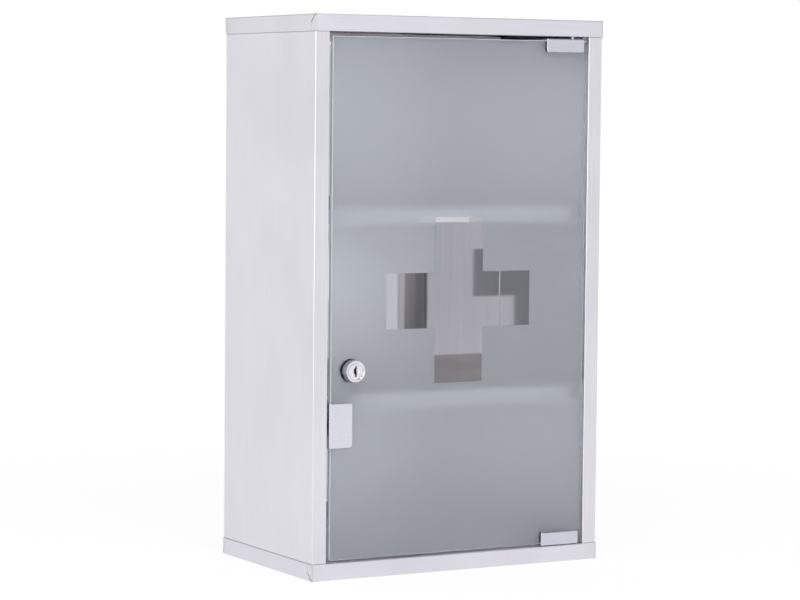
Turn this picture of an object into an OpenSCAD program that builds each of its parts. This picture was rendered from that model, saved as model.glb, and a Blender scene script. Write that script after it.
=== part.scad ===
// Lockable wall cabinet for medicines: folded stainless sheet case, two fixed shelves,
// a ground glass door on two pivot clips, a cam lock and a magnetic catch.
// Frame: X to the right seen from the front, Y towards the wall, Z up.
// Origin: middle of the case's width, on the wall plane, level with its underside.

/* [Case] */
// Width of the case over its caps
cabinet_w = 300; // [240:1:400]
// Depth of the case over its caps
cabinet_d = 180; // [140:1:260]
// Height of the case over its caps
cabinet_h = 500; // [420:1:700]
// Thickness of the folded sheet
sheet = 0.6; // [0.5:0.1:0.8]
// Outer radius of every fold
bend_r = 1.2; // [1:0.1:1.6]
// Width of the front stiles, cap included
stile_w = 15; // [12:0.5:20]
// Depth of the flange that each stile turns back into the case
return_d = 12; // [10:0.5:16]
// Width of the flanges that the back panel lies on
back_flange = 15; // [10:0.5:20]

/* [Caps] */
// Height of the caps' flanges
cap_h = 15; // [12:0.5:18]
// Depth of the lip along the cap's front edge
lip_d = 14; // [9:0.5:18]
// Width of the tab that the front flange wraps round each front corner
front_tab = 8; // [6:0.5:12]
// Width of the tab that the rear flange wraps round each rear corner
rear_tab = 5.5; // [4:0.5:8]
// Height of the vertical part of the tab's seam
seam_h = 7.5; // [5:0.5:9]
// Width of the open seam beside a tab
seam_gap = 0.35; // [0.2:0.05:0.5]

/* [Shelves] */
// Height of the lower shelf's top face
lower_shelf_z = 163; // [158:0.5:172]
// Height of the upper shelf's top face
upper_shelf_z = 329.5; // [290:0.5:360]
// Height of the shelf's folded rim
shelf_rim = 14; // [8:0.5:16]
// Distance from the door's swinging edge to the shelves' front
shelf_gap = 0.7; // [0.5:0.1:12]

/* [Wall fixing] */
// Distance between the wall holes across the back
wall_hole_dx = 200; // [140:1:220]
// Distance between the wall holes up the back
wall_hole_dz = 380; // [300:1:400]
// Diameter of the wall holes
wall_hole_d = 6.5; // [4.5:0.5:8]

/* [Door glass] */
// Thickness of the glass
glass_t = 5; // [4:0.5:6]
// Gap between the glass and the hinge stile
hinge_gap = 2; // [1.8:0.1:3]
// Gap between the glass and the lock stile
lock_gap = 3.5; // [3:0.1:5]
// Gap above the glass
top_gap = 4; // [3.5:0.1:5]
// Gap between the lower clip and its bush
door_lift = 0.3; // [0.2:0.1:1]

/* [Hinge clips] */
// Width of a clip
clip_w = 40.5; // [36:0.5:50]
// Height of a clip's plates on the glass
clip_over = 10.5; // [9:0.5:14]
// Thickness of a clip's front plate and web
clip_t = 1.2; // [1:0.1:1.4]
// Thickness of a clip's rear plate
clip_rear_t = 3; // [2.5:0.1:3.5]
// Corner radius of a clip's plates
clip_r = 2; // [1:0.1:3]
// Distance of a clip from the glass's hinge edge
clip_inset = 3.25; // [1:0.25:4]
// Distance of the pivot from the glass's hinge edge
pivot_inset = 14; // [11:0.5:15]
// Thickness of the pad between a clip and the glass's faces
pad_t = 0.4; // [0.3:0.1:0.6]
// Thickness of the pad between a clip and the glass's edge
edge_pad_t = 0.6; // [0.5:0.1:0.8]
// Diameter of the pivot pins
pin_d = 3; // [2.5:0.1:3.4]
// Diameter of the pivot pins' heads
pin_head_d = 5; // [4:0.1:5.6]
// Length of the upper pin above its clip
upper_pin_l = 6.2; // [5:0.1:9]
// Length of the lower pin below its clip
lower_pin_l = 2; // [1.6:0.1:3]
// Diameter of the grub screws
grub_d = 3; // [2.5:0.5:3.5]

/* [Pivot bushes] */
// Outer diameter of a bush
bush_d = 5; // [4.4:0.1:5.4]
// Diameter of a bush's collar
bush_collar_d = 8; // [7:0.5:10]
// Thickness of a bush's collar
bush_collar_t = 1.2; // [1:0.1:2]
// Length of a bush inside the case
bush_l = 5.4; // [4:0.1:8]
// Height that a bush stands out of the lip
bush_proud = 0.3; // [0.1:0.1:0.4]

/* [Handle] */
// Width of the handle's front plate
handle_w = 23.5; // [20:0.5:30]
// Height of the handle
handle_h = 40.2; // [38:0.2:44]
// Width of the handle's rear leg
handle_leg = 20; // [18:0.5:24]
// Distance from the lower shelf's top face down to the handle's middle
handle_below = 25.7; // [25.3:0.2:34]
// Corner radius of the handle's free edge
handle_r = 3; // [1:0.5:5]
// Diameter of the handle's clamping screws
handle_screw_d = 3; // [2:0.5:4]
// Distance of a clamping screw from the handle's end
handle_screw_in = 4.7; // [4:0.1:5]

/* [Catch] */
// Width of the catch housing
catch_w = 17; // [14:0.5:20]
// Height of the catch housing
catch_h = 22; // [18:0.5:22]
// Depth of the catch housing
catch_d = 10; // [8:0.5:12]
// Thickness of the catch's bracket
bracket_t = 1; // [0.8:0.1:1.5]
// Length of the bracket's leg on the side panel
bracket_leg = 20; // [15:1:30]
// Thickness of a pole plate
pole_t = 1.2; // [1:0.1:2]
// Height that the pole plates stand out of the housing
pole_proud = 1; // [0.5:0.1:1.5]
// Diameter of the catch screws
catch_screw_d = 3; // [2.5:0.5:3.5]
// Distance between the catch screws
catch_screw_dz = 10; // [8:0.5:12]

/* [Lock] */
// Distance of the lock's axis from the glass's lock edge
lock_inset = 21.5; // [20:0.5:30]
// Height of the lock's axis above the handle's middle
lock_above = 48.4; // [44:0.1:80]
// Height that the lock stands out of the glass
lock_proud = 7.1; // [5:0.1:10]
// Diameter of the lock's head
lock_head_d = 19.2; // [18:0.1:20.6]
// Diameter of the lock's flange on the glass
lock_flange_d = 19.8; // [19.4:0.1:24]
// Diameter of the lock's threaded body
lock_body_d = 16; // [15.6:0.1:17]
// Diameter of the plug's face
plug_face_d = 14; // [13.4:0.1:14.6]
// Diameter of the plug's barrel
plug_d = 12; // [11.4:0.1:12.4]
// Height of the keyway
keyway_h = 9.6; // [8:0.1:10]
// Width of the keyway
keyway_w = 1.8; // [1.4:0.1:2.2]
// Thickness of the lock nut
nut_t = 3; // [2.5:0.1:3.2]
// Width of the lock nut across its flats
nut_af = 21; // [20:0.5:24]
// Length of the cam's tip that goes behind the stile
cam_catch = 3.5; // [2.5:0.5:6]
// Width of the cam
cam_w = 10; // [8:0.5:14]
// Thickness of the cam
cam_t = 1.5; // [1:0.1:2]

/* [Hidden] */
$fn = 64;

// Clearances
slip = 0.3;          // between faces that must not touch
running = 0.06;      // radial, between a shaft and its bore
hole_fit = 0.3;      // radial, round the lock's body in the glass
cut = 1;             // overshoot of a cutting tool

// Case
inner_r = bend_r - sheet;
wall_x = cabinet_w / 2 - sheet;            // outer face of a side wall
room_x = wall_x - sheet;                   // inner face of a side wall
stile_x = cabinet_w / 2 - stile_w;         // edge of the door opening
stile_y = -(cabinet_d - sheet);            // front face of a stile
back_y = -sheet;                           // rear face of the back panel
flange_y = -2 * sheet;                     // rear face of the side panels' rear flanges
panel_h = cabinet_h - 2 * bend_r;
lip_w = 2 * (stile_x - slip);
lip_fold = 2 * bend_r;                     // height of the lip's fold, with a lap on the flange

// Shelves
shelf_back_y = flange_y - sheet;

// Door
glass_front_y = -(cabinet_d - clip_t - pad_t);
glass_mid_y = glass_front_y + glass_t / 2;
glass_rear_y = glass_front_y + glass_t;
glass_x0 = -stile_x + lock_gap;
glass_x1 = stile_x - hinge_gap;
glass_z0 = cap_h + bush_proud + door_lift + clip_t + edge_pad_t;
glass_z1 = cabinet_h - cap_h - top_gap;
channel_gap = glass_t + 2 * pad_t;

// Hinge clips
clip_x1 = glass_x1 - clip_inset;
clip_x0 = clip_x1 - clip_w;
pivot_x = glass_x1 - pivot_inset;
pivot_y = glass_mid_y;
swing_r = norm([pivot_inset, glass_t / 2]);      // of the glass's hinge edge about the pivot
shelf_front_y = pivot_y + swing_r + shelf_gap;
collar_flat = pivot_y + cabinet_d - bend_r;      // from the pivot to the start of the cap's fold
pad_inset = 0.5;
grub_x = [7, 19];                                // from the clip's free end
grub_z = clip_over / 2 + 1.5;
grub_socket = 1.7;
grub_socket_l = 1.6;

// Handle
handle_z = lower_shelf_z - handle_below;
handle_x0 = glass_x0 - edge_pad_t - clip_t;
handle_z0 = handle_z - handle_h / 2;
leg_rear_y = glass_rear_y + pad_t + clip_t;
handle_screw_x = glass_x0 + handle_leg / 2;
screw_head_t = 1.2;
screw_head_k = 1.7;                              // head diameter over thread diameter
slot_w = 0.8;
slot_d = 0.6;

// Catch
catch_face_y = leg_rear_y + slip;
catch_x1 = handle_x0 + handle_leg;
catch_x0 = catch_x1 - catch_w;
catch_front_y = catch_face_y + pole_proud;
catch_rear_y = catch_front_y + catch_d;
bracket_h = catch_h - 4;
pole_side = 2.4;                                 // side wall between a pole plate and the housing's face
magnet_d = 6;                                    // depth of the magnet behind the housing's face
pole_h = catch_h - 6;
catch_screw_l = catch_d - magnet_d - 0.4;

// Lock
lock_x = glass_x0 + lock_inset;
lock_z = handle_z + lock_above;
lock_front_y = glass_front_y - lock_proud;
front_washer_t = 0.5;
rear_washer_t = 0.8;
flange_t = 1.2;
cam_gap = 1;                                     // between the stile's flange and the cam
cam_y = stile_y + return_d + cam_gap;
shoulder = 0.5;                                  // plug behind the housing
housing_rear_y = cam_y - shoulder;
plug_recess = 0.3;
rim_gap = 0.6;                                   // open ring round the plug's face
rim_d = 0.8;
plug_face_t = 2.2;
tail = 6;
tail_fit = 0.05;
cam_washer_t = 0.6;
cam_washer_d = 9;
cam_screw_d = 4;
cam_head_d = 8;
cam_head_t = 1.8;
cam_screw_l = 5;
cam_hub_d = 15;
cam_l = lock_inset + lock_gap + cam_catch;
keyway_l = 13;
wafer_count = 5;
wafer_t = 0.8;
wafer_pitch = 1.9;
wafer_w = 7;
wafer_r = plug_d / 2 - 0.1;
wafer_slot = wafer_t + 0.1;
wafer_start = 4.6;                               // from the plug's face to the first wafer
window_w = keyway_w + 0.6;
window_h = keyway_h - 1.6;
ear_z = 1.2;
ear_t = 0.9;
ear_x = 5;
spring_x = 4.25;
spring_r = 0.6;
spring_wire = 0.25;
spring_l = 2.4;
nut_r = nut_af / 2 / cos(30);

// Sheet ---------------------------------------------------------------

// Strip of sheet that starts along +X and turns left (1) or right (-1) after each leg.
// legs are flat lengths, without the folds.
module strip(legs, turns, n = 0) {
    square([legs[n], sheet]);
    if (n < len(turns)) {
        left = turns[n] > 0;
        translate([legs[n], left ? bend_r : sheet - bend_r])
            intersection() {
                difference() {
                    circle(bend_r);
                    circle(inner_r);
                }
                translate([0, left ? -bend_r : 0])
                    square(bend_r);
            }
        translate([legs[n] + (left ? bend_r : inner_r), left ? bend_r : sheet - bend_r])
            rotate(90 * turns[n])
                strip(legs, turns, n + 1);
    }
}

module rounded_rect(w, d, r) {
    square([w - 2 * r, d], center = true);
    square([w, d - 2 * r], center = true);
    for (x = [-1, 1], y = [-1, 1])
        translate([x * (w / 2 - r), y * (d / 2 - r)])
            circle(r);
}

// Block below z = 0 with rounded upright and upper edges
module rounded_block(w, d, h, r) {
    intersection() {
        translate([0, 0, -h])
            linear_extrude(h)
                rounded_rect(w, d, r);
        rotate([90, 0, 0])
            linear_extrude(d + 2 * cut, center = true)
                translate([0, -h])
                    rounded_rect(w, 2 * h, r);
        rotate([90, 0, 90])
            linear_extrude(w + 2 * cut, center = true)
                translate([0, -h])
                    rounded_rect(d, 2 * h, r);
    }
}

// Folded pan: a plate with its top face at z = 0 and four flanges down
module pan(w, d, h) {
    difference() {
        rounded_block(w, d, h, bend_r);
        translate([0, 0, -sheet])
            rounded_block(w - 2 * sheet, d - 2 * sheet, h, inner_r);
    }
}

// Open seam beside a corner tab, on a side flange, seen along X.
// It runs from the pan's corner down to the seam's upright part.
module seam(tab) {
    rise = cap_h - seam_h;
    lean = atan2(rise, tab);
    translate([0, 0, -cut / 2])
        linear_extrude(sheet + cut) {
            translate([tab - seam_gap / 2, -cap_h - cut])
                square([seam_gap, seam_h + cut]);
            rotate(-lean)
                translate([0, -seam_gap / 2])
                    square([sqrt(tab * tab + rise * rise), seam_gap]);
        }
}

module cap() {
    mid_y = -cabinet_d / 2;
    difference() {
        translate([0, mid_y, 0])
            pan(cabinet_w, cabinet_d, cap_h);
        translate([-lip_w / 2, -cabinet_d - cut, -cap_h - cut])
            cube([lip_w, 2 * cut, bend_r + cut]);
        for (side = [0, 1])
            mirror([side, 0, 0]) {
                translate([-cabinet_w / 2, -cabinet_d, 0])
                    rotate([90, 0, 90])
                        seam(front_tab);
                translate([-cabinet_w / 2, 0, 0])
                    mirror([0, 1, 0])
                        rotate([90, 0, 90])
                            seam(rear_tab);
            }
    }
    difference() {
        translate([-lip_w / 2, -cabinet_d, -cap_h + lip_fold])
            rotate([90, 0, 90])
                linear_extrude(lip_w)
                    mirror([0, 1])
                        rotate(90)
                            mirror([0, 1])
                                strip([lip_fold - bend_r, lip_d - bend_r], [1]);
        translate([pivot_x, pivot_y, -cap_h - cut])
            cylinder(d = bush_d, h = 2 * cut + sheet);
    }
}
module side_panel() {
    translate([0, 0, bend_r])
        linear_extrude(panel_h)
            translate([-stile_x - sheet, stile_y + return_d])
                rotate(-90)
                    strip(
                        [
                            return_d - bend_r,
                            wall_x - stile_x - 2 * bend_r,
                            flange_y - stile_y - 2 * bend_r,
                            back_flange - bend_r
                        ],
                        [-1, -1, -1]
                    );
}

module shelf(z) {
    depth = shelf_back_y - shelf_front_y;
    translate([0, shelf_back_y - depth / 2, z])
        pan(2 * room_x, depth, shelf_rim);
}

// Case ----------------------------------------------------------------

module left_side_panel() {
    color("lavender")
        side_panel();
}

module right_side_panel() {
    color("lavender")
        mirror([1, 0, 0])
            side_panel();
}

module top_cap() {
    color("gainsboro")
        translate([0, 0, cabinet_h])
            cap();
}

module bottom_cap() {
    color("gainsboro")
        mirror([0, 0, 1])
            cap();
}

module back_panel() {
    w = 2 * (wall_x - bend_r);
    color("silver")
        difference() {
            translate([-w / 2, back_y - sheet, bend_r])
                cube([w, sheet, panel_h]);
            for (x = [-1, 1], z = [-1, 1])
                translate([x * wall_hole_dx / 2, 0, cabinet_h / 2 + z * wall_hole_dz / 2])
                    rotate([90, 0, 0])
                        cylinder(d = wall_hole_d, h = cut + 2 * sheet);
        }
}

module upper_shelf() {
    color("silver")
        shelf(upper_shelf_z);
}

module lower_shelf() {
    color("silver")
        shelf(lower_shelf_z);
}

// Bush with its collar inside the case: z = 0 at the lip's outer face, the case below.
// The collar has a flat towards the cap's fold.
module pivot_bush() {
    difference() {
        union() {
            translate([0, 0, -bush_l])
                cylinder(d = bush_d, h = bush_l + bush_proud);
            intersection() {
                translate([0, 0, -sheet - bush_collar_t])
                    cylinder(d = bush_collar_d, h = bush_collar_t);
                translate([-bush_collar_d / 2, -collar_flat, -bush_l])
                    cube([bush_collar_d, 2 * bush_collar_d, bush_l]);
            }
        }
        translate([0, 0, -bush_l - cut])
            cylinder(r = pin_d / 2 + running, h = bush_l + 2 * cut);
    }
}

module upper_pivot_bush() {
    color("white")
        translate([pivot_x, pivot_y, cabinet_h - cap_h])
            mirror([0, 0, 1])
                pivot_bush();
}

module lower_pivot_bush() {
    color("white")
        translate([pivot_x, pivot_y, cap_h])
            pivot_bush();
}

// Magnetic catch ------------------------------------------------------

module catch_screw_places() {
    for (side = [-1, 1])
        translate([(catch_x0 + catch_x1) / 2, catch_rear_y, handle_z + side * catch_screw_dz / 2])
            rotate([90, 0, 0])
                children();
}

module catch_bracket() {
    color("silver")
        difference() {
            translate([0, 0, handle_z - bracket_h / 2])
                linear_extrude(bracket_h) {
                    translate([-room_x, catch_rear_y])
                        square([room_x + catch_x1, bracket_t]);
                    translate([-room_x, catch_rear_y])
                        square([bracket_t, bracket_leg]);
                }
            catch_screw_places()
                translate([0, 0, -bracket_t - cut])
                    cylinder(d = catch_screw_d, h = bracket_t + 2 * cut);
        }
}

module catch_housing() {
    color("whitesmoke")
        difference() {
            translate([catch_x0, catch_front_y, handle_z - catch_h / 2])
                cube([catch_w, catch_d, catch_h]);
            translate([catch_x0 + pole_side, catch_front_y - cut, handle_z - pole_h / 2])
                cube([catch_w - 2 * pole_side, magnet_d + cut, pole_h]);
            catch_screw_places()
                translate([0, 0, -cut])
                    cylinder(d = catch_screw_d, h = catch_screw_l + cut);
        }
}

module catch_magnet() {
    color("dimgray")
        translate([catch_x0 + pole_side + pole_t, catch_front_y, handle_z - pole_h / 2])
            cube([catch_w - 2 * (pole_side + pole_t), magnet_d, pole_h]);
}

module catch_pole_plates() {
    color("slategray")
        for (x = [catch_x0 + pole_side, catch_x1 - pole_side - pole_t])
            translate([x, catch_face_y, handle_z - pole_h / 2])
                cube([pole_t, magnet_d + pole_proud, pole_h]);
}

// Round-headed screw along +Z with its head below z = 0
module headed_screw(d, l) {
    difference() {
        union() {
            cylinder(d = d, h = l);
            translate([0, 0, -screw_head_t])
                cylinder(d = screw_head_k * d, h = screw_head_t);
        }
        for (a = [0, 90])
            rotate(a)
                translate([0, 0, -screw_head_t + slot_d / 2])
                    cube([d, slot_w, slot_d], center = true);
    }
}

module catch_screws() {
    color("silver")
        catch_screw_places()
            translate([0, 0, -bracket_t])
                headed_screw(catch_screw_d, bracket_t + catch_screw_l);
}

// Door ----------------------------------------------------------------

// Turns the lock's own axis, +Z out of its face, to the case's -Y
module at_lock(y) {
    translate([lock_x, y, lock_z])
        rotate([90, 0, 0])
            children();
}

module door_glass() {
    color([0.66, 0.70, 0.74, 0.6])
        difference() {
            translate([glass_x0, glass_front_y, glass_z0])
                cube([glass_x1 - glass_x0, glass_t, glass_z1 - glass_z0]);
            at_lock(glass_rear_y + cut)
                cylinder(r = lock_body_d / 2 + hole_fit, h = glass_t + 2 * cut);
        }
}

// Channel along +X that wraps a plate's upper edge: z = 0 at the inside of its web,
// y = 0 in the middle of its gap, the front plate towards -Y
module channel(length, over, gap, front_t, rear_t, web_t) {
    rotate([90, 0, 90])
        linear_extrude(length)
            difference() {
                translate([-gap / 2 - front_t, -over])
                    square([front_t + gap + rear_t, over + web_t]);
                translate([-gap / 2, -over - cut])
                    square([gap, over + cut]);
            }
}

// Clip and pad over the glass's edge: z = 0 at the edge
module hinge_clip() {
    tall = clip_over + edge_pad_t + clip_t;
    difference() {
        intersection() {
            translate([0, 0, edge_pad_t])
                channel(clip_w, clip_over + edge_pad_t, channel_gap, clip_t, clip_rear_t, clip_t);
            translate([clip_w / 2, 0, edge_pad_t + clip_t - tall / 2])
                rotate([90, 0, 0])
                    linear_extrude(4 * channel_gap, center = true)
                        rounded_rect(clip_w, tall, clip_r);
        }
        translate([pivot_x - clip_x0, 0, 0])
            cylinder(d = pin_d, h = edge_pad_t + clip_t + cut);
        for (x = grub_x)
            translate([x, 0, -grub_z])
                rotate([-90, 0, 0])
                    cylinder(d = grub_d, h = channel_gap / 2 + clip_rear_t + cut);
    }
}

module hinge_pad() {
    difference() {
        translate([pad_inset, 0, 0])
            channel(clip_w - 2 * pad_inset, clip_over - pad_inset, glass_t, pad_t, pad_t, edge_pad_t);
        translate([pivot_x - clip_x0, 0, -cut])
            cylinder(d = pin_head_d, h = edge_pad_t + 2 * cut);
    }
}

module pivot_pin(reach) {
    translate([pivot_x - clip_x0, 0, 0]) {
        cylinder(d = pin_head_d, h = edge_pad_t);
        cylinder(d = pin_d, h = edge_pad_t + clip_t + reach);
    }
}

module grub_screws() {
    for (x = grub_x)
        translate([x, channel_gap / 2, -grub_z])
            rotate([-90, 0, 0])
                difference() {
                    cylinder(d = grub_d, h = clip_rear_t);
                    translate([0, 0, clip_rear_t - grub_socket_l])
                        cylinder(d = grub_socket, h = grub_socket_l + cut, $fn = 6);
                }
}

module at_upper_edge() {
    translate([clip_x0, glass_mid_y, glass_z1])
        children();
}

module at_lower_edge() {
    translate([clip_x0, glass_mid_y, glass_z0])
        mirror([0, 0, 1])
            children();
}

module upper_hinge_clip() {
    color("lightsteelblue")
        at_upper_edge()
            hinge_clip();
}

module lower_hinge_clip() {
    color("lightsteelblue")
        at_lower_edge()
            hinge_clip();
}

module upper_hinge_pad() {
    color("gray")
        at_upper_edge()
            hinge_pad();
}

module lower_hinge_pad() {
    color("gray")
        at_lower_edge()
            hinge_pad();
}

module upper_pivot_pin() {
    color("silver")
        at_upper_edge()
            pivot_pin(upper_pin_l);
}

module lower_pivot_pin() {
    color("silver")
        at_lower_edge()
            pivot_pin(lower_pin_l);
}

module hinge_grub_screws() {
    color("dimgray") {
        at_upper_edge()
            grub_screws();
        at_lower_edge()
            grub_screws();
    }
}

// Clip and pad on the glass's lock edge: the channel's web towards -X
module at_lock_edge() {
    translate([glass_x0, glass_mid_y, handle_z0])
        rotate([0, -90, 0])
            children();
}

module handle_screw_places() {
    for (z = [handle_z0 + handle_screw_in, handle_z0 + handle_h - handle_screw_in])
        translate([handle_screw_x, leg_rear_y, z])
            rotate([90, 0, 0])
                children();
}

module handle() {
    plate_x1 = handle_x0 + handle_w;
    color("lightsteelblue")
        difference() {
            intersection() {
                at_lock_edge()
                    translate([0, 0, edge_pad_t])
                        channel(handle_h, handle_w, channel_gap, clip_t, clip_t, clip_t);
                translate([plate_x1 - handle_w, 0, handle_z0])
                    rotate([90, 0, 0])
                        linear_extrude(cabinet_d + cut)
                            union() {
                                square([handle_w - handle_r, handle_h]);
                                translate([0, handle_r])
                                    square([handle_w, handle_h - 2 * handle_r]);
                                for (z = [handle_r, handle_h - handle_r])
                                    translate([handle_w - handle_r, z])
                                        circle(handle_r);
                            }
            }
            translate([handle_x0 + handle_leg, glass_mid_y, handle_z0 - cut])
                cube([handle_w, cabinet_d, handle_h + 2 * cut]);
            handle_screw_places()
                translate([0, 0, -cut])
                    cylinder(d = handle_screw_d, h = clip_t + 2 * cut);
        }
}

module handle_pad() {
    color("gray")
        at_lock_edge()
            translate([pad_inset, 0, 0])
                channel(
                    handle_h - 2 * pad_inset,
                    handle_leg - edge_pad_t - clip_t - pad_inset,
                    glass_t, pad_t, pad_t, edge_pad_t
                );
}

module handle_screws() {
    color("silver")
        handle_screw_places()
            headed_screw(handle_screw_d, clip_t);
}

// Lock ----------------------------------------------------------------

module lock_housing() {
    body_l = housing_rear_y - lock_front_y;
    flange_y1 = glass_front_y - front_washer_t;
    bore_r = plug_d / 2 + running;
    face_r = plug_face_d / 2 + running;
    color("gainsboro")
        difference() {
            union() {
                at_lock(housing_rear_y)
                    cylinder(d = lock_body_d, h = body_l);
                at_lock(flange_y1)
                    cylinder(d = lock_head_d, h = flange_y1 - lock_front_y);
                at_lock(flange_y1)
                    cylinder(d = lock_flange_d, h = flange_t);
            }
            at_lock(housing_rear_y + cut)
                cylinder(r = bore_r, h = body_l + 2 * cut);
            at_lock(lock_front_y + plug_recess + plug_face_t + running)
                cylinder(r = face_r, h = plug_recess + plug_face_t + cut);
            at_lock(lock_front_y + rim_d)
                cylinder(r = face_r + rim_gap, h = rim_d + cut);
        }
}

module washer(y, outer_d, t) {
    at_lock(y)
        difference() {
            cylinder(d = outer_d, h = t);
            translate([0, 0, -cut])
                cylinder(d = lock_body_d, h = t + 2 * cut);
        }
}

module lock_front_washer() {
    color("dimgray")
        washer(glass_front_y, lock_flange_d - 1, front_washer_t);
}

module lock_rear_washer() {
    color("dimgray")
        washer(glass_rear_y + rear_washer_t, nut_af, rear_washer_t);
}

module lock_nut() {
    color("silver")
        at_lock(glass_rear_y + rear_washer_t + nut_t)
            difference() {
                cylinder(r = nut_r, h = nut_t, $fn = 6);
                translate([0, 0, -cut])
                    cylinder(d = lock_body_d, h = nut_t + 2 * cut);
            }
}

// Turns children to each wafer's place: x across the plug, z up it
module wafer_places() {
    for (n = [0 : wafer_count - 1])
        translate([lock_x, lock_front_y + plug_recess + wafer_start + n * wafer_pitch, lock_z])
            children();
}

module keyway_2d() {
    ward = keyway_w / 3;
    translate([-keyway_w / 2, -keyway_h / 2])
        square([ward * 2, keyway_h * 0.55]);
    translate([-keyway_w / 2 + ward, 0])
        square([ward * 2, keyway_h / 2]);
    translate([0, -keyway_h / 4])
        square([keyway_w, ward * 2]);
}

module lock_plug() {
    face_y = lock_front_y + plug_recess;
    color("gainsboro")
        difference() {
            union() {
                at_lock(cam_y)
                    cylinder(d = plug_d, h = cam_y - face_y);
                at_lock(face_y + plug_face_t)
                    cylinder(d = plug_face_d, h = plug_face_t);
                translate([lock_x - tail / 2, cam_y - cut, lock_z - tail / 2])
                    cube([tail, cut + cam_t, tail]);
            }
            at_lock(face_y + keyway_l)
                linear_extrude(keyway_l + cut)
                    keyway_2d();
            wafer_places() {
                cube([wafer_w + 2 * tail_fit, wafer_slot, 2 * plug_d], center = true);
                translate([wafer_w / 2 - cut, -spring_r - tail_fit, ear_z - spring_l])
                    cube([ear_x + 2 * tail_fit - wafer_w / 2 + cut, 2 * (spring_r + tail_fit),
                        spring_l + ear_t + 2 * tail_fit]);
            }
            at_lock(cam_y + cam_t + cut)
                cylinder(d = cam_screw_d, h = cam_screw_l + cut);
        }
}

module lock_cam() {
    color("silver")
        at_lock(cam_y + cam_t)
            linear_extrude(cam_t)
                difference() {
                    union() {
                        circle(d = cam_hub_d);
                        translate([-cam_w / 2, -cam_l + cam_w / 2])
                            square([cam_w, cam_l - cam_w / 2]);
                        translate([0, -cam_l + cam_w / 2])
                            circle(d = cam_w);
                    }
                    square(tail + 2 * tail_fit, center = true);
                }
}

module cam_washer() {
    color("silver")
        at_lock(cam_y + cam_t + cam_washer_t)
            difference() {
                cylinder(d = cam_washer_d, h = cam_washer_t);
                translate([0, 0, -cut])
                    cylinder(d = cam_screw_d, h = cam_washer_t + 2 * cut);
            }
}

module cam_screw() {
    color("silver")
        at_lock(cam_y + cam_t + cam_washer_t)
            difference() {
                union() {
                    cylinder(d = cam_screw_d, h = cam_screw_l + cam_washer_t);
                    translate([0, 0, -cam_head_t])
                        cylinder(d = cam_head_d, h = cam_head_t);
                }
                for (a = [0, 90])
                    rotate(a)
                        translate([0, 0, -cam_head_t])
                            cube([cam_head_d / 2, slot_w, 2 * slot_d], center = true);
            }
}

module lock_wafers() {
    color("goldenrod")
        wafer_places()
            rotate([90, 0, 0])
                linear_extrude(wafer_t, center = true)
                    difference() {
                        union() {
                            intersection() {
                                circle(wafer_r);
                                square([wafer_w, 2 * wafer_r], center = true);
                            }
                            translate([0, ear_z])
                                square([ear_x, ear_t]);
                        }
                        square([window_w, window_h], center = true);
                    }
}

module wafer_springs() {
    color("silver")
        wafer_places()
            translate([spring_x, 0, ear_z - spring_l])
                difference() {
                    cylinder(r = spring_r, h = spring_l);
                    translate([0, 0, -cut])
                        cylinder(r = spring_r - spring_wire, h = spring_l + 2 * cut);
                }
}

left_side_panel();
right_side_panel();
top_cap();
bottom_cap();
back_panel();
upper_shelf();
lower_shelf();
upper_pivot_bush();
lower_pivot_bush();
catch_bracket();
catch_housing();
catch_magnet();
catch_pole_plates();
catch_screws();
door_glass();
upper_hinge_clip();
lower_hinge_clip();
upper_hinge_pad();
lower_hinge_pad();
upper_pivot_pin();
lower_pivot_pin();
hinge_grub_screws();
handle();
handle_pad();
handle_screws();
lock_housing();
lock_front_washer();
lock_rear_washer();
lock_nut();
lock_plug();
lock_cam();
cam_washer();
cam_screw();
lock_wafers();
wafer_springs();
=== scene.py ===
import math

import bpy
from mathutils import Matrix, Vector


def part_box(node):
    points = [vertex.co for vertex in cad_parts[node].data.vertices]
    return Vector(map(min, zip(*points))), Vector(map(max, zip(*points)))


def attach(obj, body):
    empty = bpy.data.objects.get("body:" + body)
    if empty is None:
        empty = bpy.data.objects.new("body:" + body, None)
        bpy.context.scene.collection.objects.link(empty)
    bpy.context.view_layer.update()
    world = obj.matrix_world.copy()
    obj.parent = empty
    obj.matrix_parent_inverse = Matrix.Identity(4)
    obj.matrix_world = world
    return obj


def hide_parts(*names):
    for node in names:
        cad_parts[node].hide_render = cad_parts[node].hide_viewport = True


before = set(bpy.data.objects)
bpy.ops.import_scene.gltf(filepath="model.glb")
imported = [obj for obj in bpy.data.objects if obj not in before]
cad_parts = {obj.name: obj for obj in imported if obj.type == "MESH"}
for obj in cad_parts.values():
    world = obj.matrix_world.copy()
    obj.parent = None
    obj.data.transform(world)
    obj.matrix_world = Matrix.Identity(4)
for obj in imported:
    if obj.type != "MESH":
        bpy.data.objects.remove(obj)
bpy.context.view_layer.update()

mm = 0.001


# Small helpers

def linearColor(hexText):                     # sRGB hex to the linear colour that shaders take
    levels = [int(hexText[i:i + 2], 16) / 255 for i in (0, 2, 4)]
    linear = [v / 12.92 if v <= 0.04045 else ((v + 0.055) / 1.055) ** 2.4 for v in levels]
    return (*linear, 1.0)


def centreOf(nodeName):
    low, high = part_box(nodeName)
    return (low + high) / 2


def addNode(tree, kind, values=None, links=None, **options):
    node = tree.nodes.new(kind)
    for option, value in options.items():
        setattr(node, option, value)
    for socket, value in (values or {}).items():
        node.inputs[socket].default_value = value
    for socket, source in (links or {}).items():
        tree.links.new(source, node.inputs[socket])
    return node


def startMaterial(name, values):              # a Principled shader and the piece's own coordinates
    material = bpy.data.materials.new(name)
    material.use_nodes = True
    tree = material.node_tree
    shader = tree.nodes["Principled BSDF"]
    for socket, value in values.items():
        shader.inputs[socket].default_value = value
    coords = addNode(tree, "ShaderNodeTexCoord").outputs["Object"]
    return material, tree, shader, coords


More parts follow.
